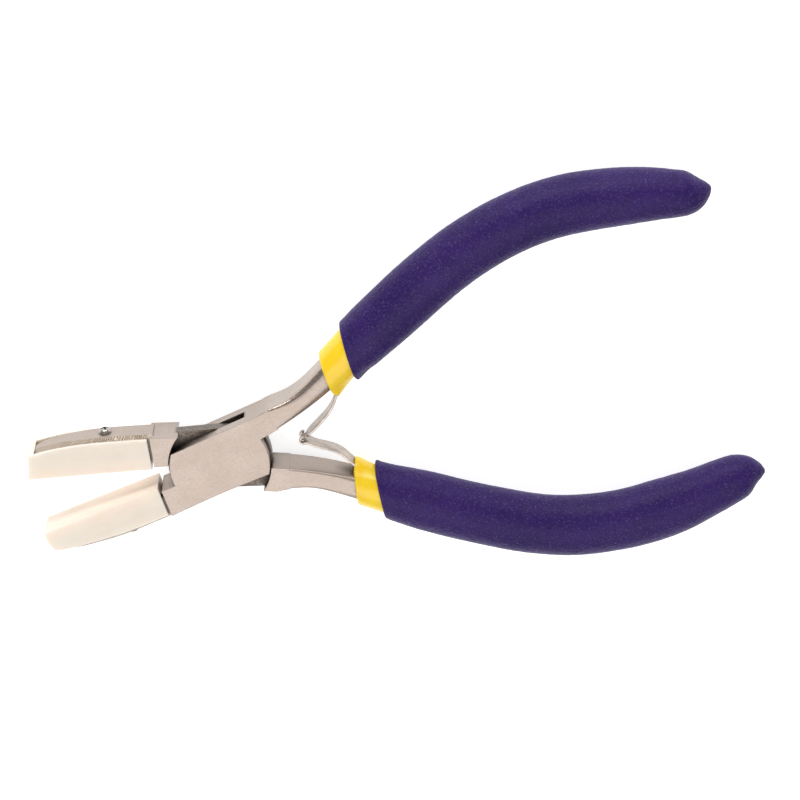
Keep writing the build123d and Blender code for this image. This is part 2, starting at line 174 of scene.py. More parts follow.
def lever_steel(name, side):
    """Satin nickel steel: fine blasted grit, faint draw lines, small pits, softened edges, painted shade in the
    crevices, on the tongue face inside the box and on the faces on edge, a polished round on the shank, and coarse
    diagonal file marks on the ground band of the jaw core, tinted tan as a painted reflection of the nylon."""
    k = Mat(name)
    x, y, z = k.sep(k.p)
    nx, ny, nz = k.sep(k.nrm)
    ca, sa = math.cos(HALF_OPEN), math.sin(HALF_OPEN)
    jx = k.math("SUBTRACT", k.math("MULTIPLY", x, ca), k.math("MULTIPLY", y, side * sa))
    jh = k.math("ADD", k.math("MULTIPLY", x, sa), k.math("MULTIPLY", y, side * ca))
    az = k.math("ABSOLUTE", k.math("SUBTRACT", z, ZM))
    # ground bands of the jaw core: the two long slopes beside its outer face
    out = k.math("ADD", k.math("MULTIPLY", nx, sa), k.math("MULTIPLY", ny, side * ca))
    slope = k.math("MULTIPLY", k.ramp(k.math("ABSOLUTE", nz), 0.12, 0.2), k.ramp(out, 0.5, 0.6))
    band = k.math("MULTIPLY", slope, k.ramp(jx, -13.4, -13.0, 1, 0))
    warp = k.noise(k.p, 0.35, 2.0)
    diag = k.math("ADD", jx, k.math("MULTIPLY", az, 0.75))
    diag = k.math("ADD", diag, k.math("MULTIPLY", warp, 1.6))
    ridge = k.math("SINE", k.math("MULTIPLY", diag, 2 * math.pi / 0.5))
    fine_r = k.math("SINE", k.math("MULTIPLY", k.math("ADD", diag, k.math("MULTIPLY", warp, 2.2)), 2 * math.pi / 0.21))
    patch = k.ramp(k.noise(k.comb(jx, 0.0, 0.0), 0.32, 2.0), 0.30, 0.56, 0.25, 1.0)
    ridges = k.math("ADD", k.math("MULTIPLY", k.math("MULTIPLY", ridge, patch), 0.75), k.math("MULTIPLY", fine_r, 0.25))
    ridges = k.math("MULTIPLY", ridges, band)
    # grit, lines and pits
    fine = k.noise(k.p, 7.0, 3.0, 0.6)
    grit = k.noise(k.p, 2.6, 3.0, 0.6)
    broad = k.noise(k.p, 0.16, 3.0, 0.55)
    lines = k.noise(k.vec("MULTIPLY", k.p, (0.3, 2.6, 7.0)), 1.0, 3.0, 0.6)
    pits = k.ramp(k.math("ADD", k.voronoi(k.p, 0.9), k.math("MULTIPLY", k.noise(k.p, 6.0, 2.0), 0.12)), 0.09, 0.17, 1, 0)
    pits = k.math("MULTIPLY", pits, k.ramp(k.noise(k.p, 0.55, 1.0), 0.55, 0.68, 0, 1))
    stain = k.ramp(k.noise(k.p, 0.32, 4.0, 0.65), 0.56, 0.76, 0, 1)
    speckle = k.ramp(k.noise(k.p, 4.2, 2.0, 0.7), 0.62, 0.72, 0, 1)
    speckle = k.math("MULTIPLY", speckle, k.ramp(k.noise(k.p, 0.28, 3.0), 0.5, 0.66))
    col = k.mix(k.ramp(broad, 0.3, 0.72), (0.455, 0.378, 0.330), (0.525, 0.445, 0.395))
    col = k.mix(k.math("MULTIPLY", k.ramp(grit, 0.4, 0.68), 0.42), col, (0.375, 0.31, 0.27))
    col = k.mix(k.math("MULTIPLY", stain, 0.4), col, (0.40, 0.30, 0.205))
    col = k.mix(k.math("MULTIPLY", speckle, 0.6), col, (0.17, 0.14, 0.115))
    col = k.mix(k.math("MULTIPLY", pits, 0.8), col, (0.07, 0.055, 0.045))
    groove = k.math("MULTIPLY", k.ramp(ridges, -0.45, 0.1, 1, 0), band)
    # the ground band's lighter tan tone is a painted reflection of the cream nylon beside it
    col = k.mix(k.math("MULTIPLY", band, 0.65), col, (0.62, 0.52, 0.41))
    col = k.mix(k.math("MULTIPLY", groove, 0.75), col, (0.20, 0.145, 0.09))
    # faces on edge are ground, not tumbled, with cross lines; their darker tone is painted shade for the shadowed floor
    # they reflect
    ground_side_shade = k.math("MULTIPLY", k.ramp(k.math("ABSOLUTE", nz), 0.12, 0.55, 1, 0), k.math("SUBTRACT", 1.0, k.math("MULTIPLY", band, 0.7)))
    cross = k.noise(k.vec("MULTIPLY", k.p, (8.0, 1.6, 0.35)), 1.0, 3.0, 0.65)
    col = k.mix(k.math("MULTIPLY", ground_side_shade, 0.4), col, (0.46, 0.405, 0.365))
    col = k.mix(k.math("MULTIPLY", k.math("MULTIPLY", ground_side_shade, k.ramp(cross, 0.5, 0.75)), 0.30), col, (0.22, 0.19, 0.165))
    # painted shade where faces meet: AO darkens gaps, crevices and the slot nearly to black, broken up by grit
    crevice_shade_ao = k.node("ShaderNodeAmbientOcclusion", {"Distance": 0.0035}, samples=6).outputs["AO"]
    crevice_shade_ao = k.math("ADD", crevice_shade_ao, k.math("MULTIPLY", k.math("SUBTRACT", grit, 0.5), 0.4))
    col = k.mix(k.ramp(crevice_shade_ao, 0.2, 0.9, 0.97, 0.0), col, (0.030, 0.024, 0.019))
    # painted shade on the tongue face deep inside the box, between the cheeks, broken up by grit
    r2 = k.math("ADD", k.math("MULTIPLY", x, x), k.math("MULTIPLY", y, y))
    box_lap_shade = k.math("MULTIPLY", k.ramp(az, 1.36, 1.44, 1, 0), k.ramp(r2, 104.0, 118.0, 1, 0))
    col = k.mix(k.math("MULTIPLY", box_lap_shade, k.ramp(grit, 0.25, 0.75, 0.86, 0.42)), col, (0.045, 0.036, 0.030))
    # the shank's round is polished
    shank = k.math("MULTIPLY", k.ramp(x, 11.0, 13.0), k.ramp(k.math("ABSOLUTE", nz), 0.985, 0.93, 0, 1))
    rough = k.math("ADD", k.ramp(fine, 0.25, 0.75, 0.34, 0.48), k.math("MULTIPLY", broad, 0.08))
    rough = k.math("SUBTRACT", rough, k.math("MULTIPLY", shank, 0.17 if side < 0 else 0.0))
    h = k.math("ADD", k.math("MULTIPLY", fine, 0.55), k.math("MULTIPLY", lines, 0.3))
    h = k.math("ADD", h, k.math("MULTIPLY", k.math("MULTIPLY", cross, ground_side_shade), 0.8))
    h = k.math("SUBTRACT", h, k.math("MULTIPLY", pits, 2.0))
    h = k.math("ADD", h, k.math("MULTIPLY", ridges, 5.0))
    # worn corners everywhere but at the flush rivet
    edge = k.edge(k.ramp(r2, 8.5, 12.0, 0.00001, 0.00017, smooth=False), 8)
    n = k.bump(h, 0.000016, 1.0, edge)
    return k.set(color=col, metal=0.95, rough=rough, normal=n, ior=2.2)


def plain_steel(name, a, b, rough=(0.22, 0.36), grit=5.0, depth=0.000008, stretch=(1, 1, 1), edge=0.00006, metal=1.0, crevice_shade=False):
    """Plain bright steel with tone drift, dark specks and, if asked, painted shade in its corners from ambient
    occlusion.
    """
    k = Mat(name)
    q = k.vec("MULTIPLY", k.p, stretch)
    f = k.noise(q, grit, 3.0, 0.6)
    br = k.noise(k.p, 0.5, 3.0)
    col = k.mix(k.ramp(br, 0.3, 0.7), a, b)
    col = k.mix(k.math("MULTIPLY", k.ramp(k.noise(k.p, 1.4, 4.0, 0.7), 0.56, 0.76), 0.5), col, tuple(c * 0.4 for c in a))
    if crevice_shade:
        # painted shade: AO darkens corners and gaps
        crevice_shade_ao = k.node("ShaderNodeAmbientOcclusion", {"Distance": 0.0005}, samples=5).outputs["AO"]
        col = k.mix(k.ramp(crevice_shade_ao, 0.15, 0.75, 0.85, 0.0), col, (0.035, 0.03, 0.026))
    r = k.ramp(f, 0.25, 0.75, rough[0], rough[1])
    n = k.bump(f, depth, 1.0, k.edge(edge))
    return k.set(color=col, metal=metal, rough=r, normal=n)


def nylon(name, side):
    """Milky natural nylon: soft light inside, faint flow streaks along the jaw, fine moulding texture and a few handling marks."""
    k = Mat(name)
    x, y, z = k.sep(k.p)
    ca, sa = math.cos(HALF_OPEN), math.sin(HALF_OPEN)
    jx = k.math("SUBTRACT", k.math("MULTIPLY", x, ca), k.math("MULTIPLY", y, side * sa))
    jh = k.math("ADD", k.math("MULTIPLY", x, sa), k.math("MULTIPLY", y, side * ca))
    q = k.comb(k.math("MULTIPLY", jx, 0.16), jh, k.math("MULTIPLY", z, 0.8))
    streak = k.noise(q, 0.55, 3.0, 0.55, 0.35)
    cloud = k.noise(k.p, 0.2, 2.0)
    col = k.mix(k.ramp(streak, 0.28, 0.72), (0.90, 0.775, 0.675), (0.945, 0.81, 0.69))
    col = k.mix(k.math("MULTIPLY", k.ramp(cloud, 0.35, 0.7), 0.5), col, (0.95, 0.835, 0.735))
    speck = k.ramp(k.voronoi(k.p, 0.5), 0.03, 0.075, 1, 0)
    speck = k.math("MULTIPLY", speck, k.ramp(k.noise(k.p, 0.4, 1.0), 0.56, 0.62))
    col = k.mix(k.math("MULTIPLY", speck, 0.6), col, (0.42, 0.33, 0.25))
    fine = k.noise(k.p, 3.2, 3.0, 0.6)
    marks = k.noise(k.vec("MULTIPLY", k.p, (0.5, 6.0, 6.0)), 1.0, 2.0)
    h = k.math("ADD", k.math("MULTIPLY", fine, 0.5), k.math("MULTIPLY", marks, 0.4))
    h = k.math("ADD", h, k.math("MULTIPLY", streak, 2.4))
    n = k.bump(h, 0.00005, 1.0)
    return k.set(color=col, rough=k.ramp(fine, 0.3, 0.7, 0.34, 0.50), normal=n, ior=1.53, sss=0.85, sss_radius=(1.0, 1.0, 1.0), sss_scale=0.0010, coat=0.05, coat_rough=0.3)


def yellow(name):
    """Glossy dipped vinyl: even colour with slow tone drift, orange-peel and small sags from dipping."""
    k = Mat(name)
    drift = k.noise(k.p, 0.22, 2.0)
    peel = k.noise(k.p, 1.1, 2.0, 0.5)
    fine = k.noise(k.p, 5.0, 2.0)
    col = k.mix(k.ramp(drift, 0.3, 0.7), (0.98, 0.64, 0.010), (1.0, 0.71, 0.018))
    col = k.mix(k.math("MULTIPLY", k.ramp(peel, 0.64, 0.82), 0.2), col, (0.90, 0.54, 0.01))
    h = k.math("ADD", k.math("MULTIPLY", peel, 1.0), k.math("MULTIPLY", fine, 0.06))
    return k.set(color=col, rough=k.ramp(fine, 0.3, 0.7, 0.24, 0.34), normal=k.bump(h, 0.000035, 1.0), ior=1.5, coat=0.25, coat_rough=0.15, sss=0.08, sss_radius=(1.0, 0.6, 0.1), sss_scale=0.0006)


def purple(name):
    """Dark violet dipped vinyl with a fine pebbled skin: tight grain, tiny dark holes, painted highlights on the grain
    crowns and painted glint specks.
    """
    k = Mat(name)
    g1 = k.voronoi(k.p, 1.25, "Distance", "SMOOTH_F1")
    g2 = k.noise(k.p, 1.75, 3.0, 0.55)
    g3 = k.noise(k.p, 0.55, 3.0, 0.55)
    fine = k.noise(k.p, 5.0, 2.0, 0.6)
    broad = k.noise(k.p, 0.07, 3.0)
    holes = k.ramp(k.voronoi(k.p, 0.8), 0.06, 0.15, 1, 0)
    holes = k.math("MULTIPLY", holes, k.ramp(k.noise(k.p, 0.5, 2.0), 0.52, 0.62))
    crown_highlight = k.ramp(g2, 0.5, 0.72)
    col = k.mix(k.ramp(broad, 0.3, 0.7), (0.019, 0.0046, 0.092), (0.029, 0.0085, 0.119))
    # painted highlight: the crowns of the grain are painted lighter violet
    col = k.mix(k.math("MULTIPLY", crown_highlight, 0.35), col, (0.052, 0.029, 0.152))
    # painted glints: sparse pale specks stand in for tiny highlights on the grain; they also raise the bump a little
    glint_specks = k.ramp(k.noise(k.p, 3.1, 2.0, 0.6), 0.56, 0.68)
    col = k.mix(k.math("MULTIPLY", glint_specks, 0.6), col, (0.115, 0.082, 0.205))
    col = k.mix(k.math("MULTIPLY", k.ramp(g3, 0.25, 0.5, 1, 0), 0.4), col, (0.014, 0.004, 0.064))
    col = k.mix(k.math("MULTIPLY", holes, 0.8), col, (0.006, 0.003, 0.025))
    h = k.math("ADD", k.math("MULTIPLY", g2, 1.0), k.math("MULTIPLY", g1, 0.5))
    h = k.math("ADD", h, k.math("MULTIPLY", g3, 0.8))
    h = k.math("ADD", h, k.math("MULTIPLY", fine, 0.16))
    h = k.math("ADD", h, k.math("MULTIPLY", glint_specks, 0.28))
    h = k.math("SUBTRACT", h, k.math("MULTIPLY", holes, 0.7))
    rough = k.ramp(g2, 0.3, 0.75, 0.50, 0.36)
    return k.set(color=col, rough=rough, normal=k.bump(h, 0.00012, 1.0), ior=1.48, spec=0.24, sheen=0.01, sheen_rough=0.4, sheen_tint=(0.55, 0.45, 0.9))


STEEL = {1: lever_steel("tongue_lever_steel", 1), -1: lever_steel("box_lever_steel", -1)}
RIVET = plain_steel("rivet_ground_steel", (0.585, 0.485, 0.415), (0.655, 0.55, 0.475), (0.36, 0.5), 7.0, 0.000012, edge=0.00001)
SCREW = plain_steel("screw_bright_nickel", (0.38, 0.355, 0.325), (0.52, 0.495, 0.46), (0.20, 0.34), 4.0, 0.000008, edge=0.00009, crevice_shade=True)
SPRING = plain_steel("spring_satin_steel", (0.38, 0.33, 0.295), (0.54, 0.475, 0.43), (0.24, 0.40), 1.0, 0.000014, stretch=(1.2, 1.2, 9.0), edge=0.00005, crevice_shade=True)
NYLON = {1: nylon("upper_nylon", 1), -1: nylon("lower_nylon", -1)}
YELLOW = yellow("yellow_dip")
PURPLE = purple("purple_grain")


def paint(node, material):
    o = frame["nodes"][node]
    if o.material_slots:
        for s in o.material_slots:
            s.material = material
    else:
        o.data.materials.append(material)


paint("box_lever", STEEL[-1])
paint("tongue_lever", STEEL[1])
paint("pivot_rivet", STEEL[-1])
for n in ("upper_jaw_screw", "lower_jaw_screw"):
    paint(n, SCREW)
for n in ("upper_spring_rivet", "lower_spring_rivet"):
    paint(n, RIVET)


# ---------------------------------------------------------------- curves
class Path:
    """A natural cubic spline through points in the plane, by chord length, in mm."""

    def __init__(self, pts):
        self.pts = [Vector(p) for p in pts]
        self.t = [0.0]
        for a, b in zip(self.pts, self.pts[1:]):
            self.t.append(self.t[-1] + (b - a).length)
        self.m = [self._solve([p[c] for p in self.pts]) for c in (0, 1)]
        n = 900
        self.u = [self.t[-1] * i / n for i in range(n + 1)]
        self.q = [self.at(u) for u in self.u]
        self.s = [0.0]
        for a, b in zip(self.q, self.q[1:]):
            self.s.append(self.s[-1] + (b - a).length)
        self.length = self.s[-1]

    def _solve(self, v):
        n, t = len(v), self.t
        a, b, c, d = [0] * n, [1] * n, [0] * n, [0] * n
        for i in range(1, n - 1):
            h0, h1 = t[i] - t[i - 1], t[i + 1] - t[i]
            a[i], b[i], c[i] = h0, 2 * (h0 + h1), h1
            d[i] = 6 * ((v[i + 1] - v[i]) / h1 - (v[i] - v[i - 1]) / h0)
        for i in range(1, n):
            w = a[i] / b[i - 1]
            b[i] -= w * c[i - 1]
            d[i] -= w * d[i - 1]
        x = [0] * n
        x[-1] = d[-1] / b[-1]
        for i in range(n - 2, -1, -1):
            x[i] = (d[i] - c[i] * x[i + 1]) / b[i]
        return x

    def at(self, u):
        t = self.t
        i = min(max(sum(1 for v in t if v <= u) - 1, 0), len(t) - 2)
        h = t[i + 1] - t[i]
        a, b = (t[i + 1] - u) / h, (u - t[i]) / h
        out = []
        for c in (0, 1):
            v0, v1, m0, m1 = self.pts[i][c], self.pts[i + 1][c], self.m[c][i], self.m[c][i + 1]
            out.append(a * v0 + b * v1 + ((a ** 3 - a) * m0 + (b ** 3 - b) * m1) * h * h / 6)
        return Vector(out)

    def by_length(self, s):
        s = min(max(s, 0.0), self.length)
        lo, hi = 0, len(self.s) - 1
        while hi - lo > 1:
            m = (lo + hi) // 2
            if self.s[m] <= s:
                lo = m
            else:
                hi = m
        f = (s - self.s[lo]) / max(self.s[hi] - self.s[lo], 1e-9)
        p = self.q[lo].lerp(self.q[hi], f)
        a = self.q[max(lo - 2, 0)]
        b = self.q[min(hi + 2, len(self.q) - 1)]
        t = (b - a).normalized()
        return p, t

    def s_at_x(self, x):
        for i, p in enumerate(self.q):
            if p.x >= x:
                return self.s[i]
        return self.length


def table(rows, x):
    n = len(rows)
    x = min(max(x, rows[0][0]), rows[-1][0])
    k = max(i for i in range(n - 1) if rows[i][0] <= x)
    out = []
    for c in range(1, len(rows[0])):
        d = [(rows[i + 1][c] - rows[i][c]) / (rows[i + 1][0] - rows[i][0]) for i in range(n - 1)]
        m = [d[0]] + [0.0 if d[i - 1] * d[i] <= 0 else 2 * d[i - 1] * d[i] / (d[i - 1] + d[i]) for i in range(1, n - 1)] + [d[-1]]
        h = rows[k + 1][0] - rows[k][0]
        u = (x - rows[k][0]) / h
        out.append(rows[k][c] * (1 + 2 * u) * (1 - u) ** 2 + h * m[k] * u * (1 - u) ** 2 + rows[k + 1][c] * u * u * (3 - 2 * u) - h * m[k + 1] * u * u * (1 - u))
    return out


UPPER = Path([
    (9.6, 5.9), (11.3, 6.35), (14.1, 7.25), (17.3, 8.4), (20.6, 9.85), (23.7, 11.6), (27.5, 13.95), (33.07, 17.35), (41.66, 22.42),
    (50.43, 27.23), (59.52, 31.3), (69.2, 33.9), (79.18, 34.56), (89.14, 33.5), (95.5, 32.38), (99.5, 31.42), (102.5, 30.98), (105.5, 31.25)])
LOWER = Path([
    (9.4, -5.45), (11.4, -5.85), (14, -6.5), (16.3, -7.25), (18.5, -8.2), (20.75, -9.35), (23.5, -10.95), (27.5, -13.4), (33.1, -16.73), (41.75, -21.77),
    (50.6, -26.46), (59.8, -30.25), (69.6, -32.18), (79.6, -32.26), (89.5, -30.88), (94.0, -29.84), (98.0, -28.95), (100.3, -28.78), (102.8, -29.2)])
INNER_UP = [(20, 3.7, 4.15), (25, 4.0, 4.2), (30, 4.35, 4.3), (37, 4.85, 4.45)]
INNER_LOW = [(20, 3.8, 4.15), (24.5, 4.1, 4.2), (30, 4.4, 4.3), (37, 4.9, 4.45)]
GRIP_UP = [
    (24, 4.6, 4.65), (30, 4.95, 4.8), (33, 5.45, 5.05), (37.5, 5.75, 5.2), (50, 5.9, 5.2), (65, 5.9, 5.2), (79, 6.0, 5.2),
    (86, 5.8, 5.1), (92, 5.38, 4.85), (98, 4.78, 4.35), (100.5, 4.45, 4.05), (102.0, 3.9, 3.6), (103.2, 3.1, 2.95), (104.3, 2.05, 2.05), (105.1, 1.15, 1.2), (105.4, 0.5, 0.55)]
GRIP_LOW = [
    (23, 4.7, 4.65), (29, 5.1, 4.8), (33, 5.65, 5.05), (37.5, 5.95, 5.2), (50, 6.05, 5.2), (65, 6.1, 5.2), (79, 6.05, 5.2),
    (85, 5.8, 5.1), (90, 5.3, 4.85), (95, 4.83, 4.45), (97.5, 4.5, 4.15), (99.0, 3.97, 3.7), (100.3, 3.15, 3.0), (101.4, 2.15, 2.1), (102.3, 1.2, 1.25), (102.7, 0.5, 0.55)]
INNER_END_UP = INNER_UP + [(60, 4.95, 4.5), (78, 5.0, 4.5), (88, 4.7, 4.2), (96, 4.1, 3.6), (100.5, 3.1, 2.8), (102.3, 1.9, 1.9), (102.9, 0.5, 0.55)]
INNER_END_LOW = INNER_LOW + [(60, 5.0, 4.5), (78, 5.0, 4.5), (88, 4.5, 4.1), (94, 3.8, 3.5), (98, 2.9, 2.7), (99.8, 1.8, 1.8), (100.4, 0.5, 0.55)]


def new_object(name, bm, material, smooth=True):
    me = bpy.data.meshes.new(name)
    bm.to_mesh(me)
    bm.free()
    me.materials.append(material)
    for p in me.polygons:
        p.use_smooth = smooth
    ob = bpy.data.objects.new(name, me)
    bpy.context.scene.collection.objects.link(ob)
    return ob


def sleeve(name, line, rows, mouth_x, tilt, side, wall, material, around=112, step=0.34, lump=0.0, grain=0.0, bulge=0.0, bulge_len=3.0, flare=0.0, seed=0.0):
    """A dipped sleeve: slanted mouth with a rolled lip, elliptical body that follows the handle, closed rounded tip."""
    bm = bmesh.new()
    tan = math.tan(math.radians(tilt))
    s_end = line.s_at_x(rows[-1][0])
    # lip profile: (distance back from the mouth plane, share of the wall)
    lip = [(1.2, -0.25), (0.45, -0.12), (0.12, 0.06), (0.0, 0.30), (0.0, 0.55), (0.05, 0.76), (0.16, 0.90), (0.34, 0.97), (0.6, 1.0)]
    rings = []

    def section(s, ang):
        p, t = line.by_length(s)
        a, b = table(rows, p.x)
        n = Vector((-t.y, t.x)) * side        # outwards from the tool's centre line
        ca, sa = math.cos(ang), math.sin(ang)
        return p, t, n, a * ca, b * sa, a, b

    mouth = []
    for j in range(around):
        ang = 2 * math.pi * j / around
        s = line.s_at_x(mouth_x)
        for _ in range(6):
            p, t, n, da, db, a, b = section(s, ang)
            q = p + n * da
            x_cut = mouth_x - (q.y * side - 12.5) * tan
            s += (x_cut - q.x) / max(t.x, 0.3)
        mouth.append(s)
    spots = [("lip", d, f) for d, f in lip]
    body_len = s_end - max(mouth)
    n_body = int(body_len / step)
    tail = [1 - (1 - i / n_body) for i in range(1, n_body + 1)]
    spots += [("body", None, u) for u in tail]
    verts = []
    for kind, d, f in spots:
        row = []
        for j in range(around):
            ang = 2 * math.pi * j / around
            if kind == "lip":
                s = mouth[j] + d
                k = f
            else:
                s0 = mouth[j] + 0.6
                s = s0 + (s_end - s0) * f
                k = 1.0
            p, t, n, da, db, a, b = section(s, ang)
            ds = s - mouth[j]
            # ridge over the leaf root, on the side that faces the other handle
            inward = max(0.0, -math.cos(ang))
            ridge = bulge * math.exp(-((db / 2.15) ** 4)) * (inward ** 1.5) * max(0.0, 1 - ds / bulge_len) ** 1.3 if bulge else 0.0
            fl = flare * math.exp(-ds / 1.6)
            shrink = (k - 1.0) * wall
            la = math.hypot(da, db) or 1.0
            radial = shrink + ridge + fl
            q = Vector((p.x, p.y, ZM)) + Vector((n.x, n.y, 0)) * (da * (1 + radial / la)) + Vector((0, 0, db * (1 + radial / la)))
            if lump or grain:
                fade = min(1.0, max(0.0, (s_end - s) / 3.0)) * (1.0 if kind == "body" else 0.4)
                w = lump * noise.noise(q * 0.11 + Vector((seed, 0, 0))) + grain * noise.noise(q * 1.25) + grain * 0.7 * noise.noise(q * 2.6)
                nr = Vector((n.x * da, n.y * da, db)).normalized()
                q += nr * w * fade
            row.append(bm.verts.new(q * MM))
        verts.append(row)
    for r0, r1 in zip(verts, verts[1:]):
        for j in range(around):
            i = (j + 1) % around
            bm.faces.new((r0[j], r0[i], r1[i], r1[j]))
    p, t = line.by_length(s_end)
    tip = bm.verts.new(Vector((p.x + t.x * 0.12, p.y + t.y * 0.12, ZM)) * MM)
    for j in range(around):
        bm.faces.new((verts[-1][j], verts[-1][(j + 1) % around], tip))
    # close the hidden inner end just inside the mouth
    p, t = line.by_length(line.s_at_x(mouth_x) + 1.6)
    plug = bm.verts.new(Vector((p.x, p.y, ZM)) * MM)
    for j in range(around):
        bm.faces.new((verts[0][(j + 1) % around], verts[0][j], plug))
    bmesh.ops.recalc_face_normals(bm, faces=bm.faces)
    ob = new_object(name, bm, material)
    return ob


for side, tag, line, inner, outer, body, cuts, seed in (
    (1, "upper", UPPER, INNER_END_UP, GRIP_UP, "box_lever_body", ((24.65, 7), (30.1, 3)), 0.0),
    (-1, "lower", LOWER, INNER_END_LOW, GRIP_LOW, "tongue_lever_body", ((24.25, 10), (28.8, 4)), 7.3),
):
    y = sleeve(tag + "_inner_sleeve_skin", line, inner, cuts[0][0], cuts[0][1], side, 1.1, YELLOW, around=96, step=0.5, lump=0.10, bulge=1.15, bulge_len=6.0, seed=seed)
    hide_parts(tag + "_inner_sleeve")
    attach(y, body)
    g = sleeve(tag + "_grip_skin", line, outer, cuts[1][0], cuts[1][1], side, 0.75, PURPLE, around=128, step=0.3, lump=0.12, grain=0.035, flare=0.12, bulge=0.45, bulge_len=9.0, seed=seed + 3)
    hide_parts(tag + "_grip")
    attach(g, body)


# ---------------------------------------------------------------- nylon shoes
def jaw_pt(side, x, height):
    h = height + CLAMP if side > 0 else height - CLAMP
    return Vector((x * math.cos(HALF_OPEN) + h * math.sin(HALF_OPEN), side * (-x * math.sin(HALF_OPEN) + h * math.cos(HALF_OPEN))))


RIM = {
    1: Path([(-13.6, 6.3), (-18.8, 6.42), (-22.7, 6.45), (-27.2, 6.34), (-31.4, 5.96), (-33.5, 5.65), (-35.5, 5.3), (-36.7, 5.08)]),
    -1: Path([(-13.6, 6.12), (-19.5, 6.22), (-24.0, 6.08), (-30.0, 5.55), (-33.5, 5.12), (-35.6, 4.8), (-36.6, 4.6)])}
TIP = {1: [(-37.0, 4.85), (-37.12, 4.4), (-37.35, 2.2)], -1: [(-37.3, 4.15), (-37.75, 3.1), (-37.88, 1.7)]}
TIP_X = {1: -37.58, -1: -37.7}
PAD_Z, POCKET_Z, FLOOR, CORE_TIP = 3.95, 3.3, 2.4, -36.3


def shoe(name, side):
    """A cap-shaped nylon shoe: flat clamping face, two side walls and a blunt tip around the pocket for the steel core."""
    bm = bmesh.new()
    edge = RIM[side]
    rim = [edge.by_length(edge.length * i / 30)[0] for i in range(31)]
    # outer profile, from the base end round the rim and tip to the clamping face
    prof = rim + [Vector(p) for p in TIP[side]] + [Vector((TIP_X[side], 0.0))]
    prof += [Vector((TIP_X[side] + (-TIP_X[side] - 13.2) * i / 14, 0.0)) for i in range(1, 15)]

    n_rim = next(i for i, p in enumerate(rim) if p.x < -35.2)
    floor_pts = [Vector((rim[n_rim].x, FLOOR + 0.7)), Vector((CORE_TIP + 0.5, FLOOR)), Vector((-30, FLOOR)), Vector((-22, FLOOR)), Vector((rim[0].x + 0.12, FLOOR))]

    def v(p, z):
        # hand-trimmed edges wander by a few hundredths
        w = noise.noise(Vector((p.x * 0.45, p.y * 0.2, z * 3 + side * 9)))
        rise = 0.07 * w if p.y > 0.05 else 0.03 + 0.05 * abs(w)      # the clamping faces only just meet
        q = jaw_pt(side, p.x + (0.10 * w if p.x > -13.3 else 0.0), p.y + rise * (1 if abs(z) > 3.6 else 0))
        return bm.verts.new(Vector((q.x, q.y, ZM + z)) * MM)

    outer = {z: [v(p, z) for p in prof] for z in (-PAD_Z, PAD_Z)}
    lip = {z: [v(p, z) for p in rim[: n_rim + 1]] for z in (-POCKET_Z, POCKET_Z)}
    flo = {z: [v(p, z) for p in floor_pts] for z in (-POCKET_Z, POCKET_Z)}
    n = len(prof)
    for z in (-PAD_Z, PAD_Z):
        bm.faces.new(outer[z])
    # clamping face, tip and the rim beyond the pocket run right across
    for i in range(n_rim, n - 1):
        row = [outer[-PAD_Z][i], outer[-PAD_Z][i + 1], outer[PAD_Z][i + 1], outer[PAD_Z][i]]
        if i == n_rim:
            row += [lip[POCKET_Z][i], lip[-POCKET_Z][i]]
        bm.faces.new(row)
    for i in range(n_rim):
        for so in (-1, 1):
            o, l = outer[so * PAD_Z], lip[so * POCKET_Z]
            bm.faces.new((o[i], o[i + 1], l[i + 1], l[i]))
    # pocket walls and floor
    for so in (-1, 1):
        l, f = lip[so * POCKET_Z], flo[so * POCKET_Z]
        bm.faces.new(l + f)
    seq_n = [lip[-POCKET_Z][n_rim]] + flo[-POCKET_Z]
    seq_p = [lip[POCKET_Z][n_rim]] + flo[POCKET_Z]
    for i in range(len(seq_n) - 1):
        bm.faces.new((seq_n[i], seq_n[i + 1], seq_p[i + 1], seq_p[i]))
    # base end: a U-shaped face around the open pocket
    base = [outer[PAD_Z][0], lip[POCKET_Z][0], flo[POCKET_Z][-1], flo[-POCKET_Z][-1], lip[-POCKET_Z][0], outer[-PAD_Z][0], outer[-PAD_Z][-1], outer[PAD_Z][-1]]
    bm.faces.new(base)
    bmesh.ops.recalc_face_normals(bm, faces=bm.faces)
    ob = new_object(name, bm, NYLON[side])
    b = ob.modifiers.new("round", "BEVEL")
    b.width, b.segments, b.limit_method, b.angle_limit = 0.0003, 4, "ANGLE", math.radians(38)
    b.harden_normals = False
    ob.data.shade_smooth() if hasattr(ob.data, "shade_smooth") else None
    w = ob.modifiers.new("flat", "WEIGHTED_NORMAL")
    w.keep_sharp = True
    return ob


for side, tag, body in ((1, "upper", "tongue_lever_body"), (-1, "lower", "box_lever_body")):
    p = shoe(tag + "_nylon_shoe", side)
    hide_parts(tag + "_jaw_pad")
    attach(p, body)


# ---------------------------------------------------------------- leaf springs
LEAF_T = 0.5


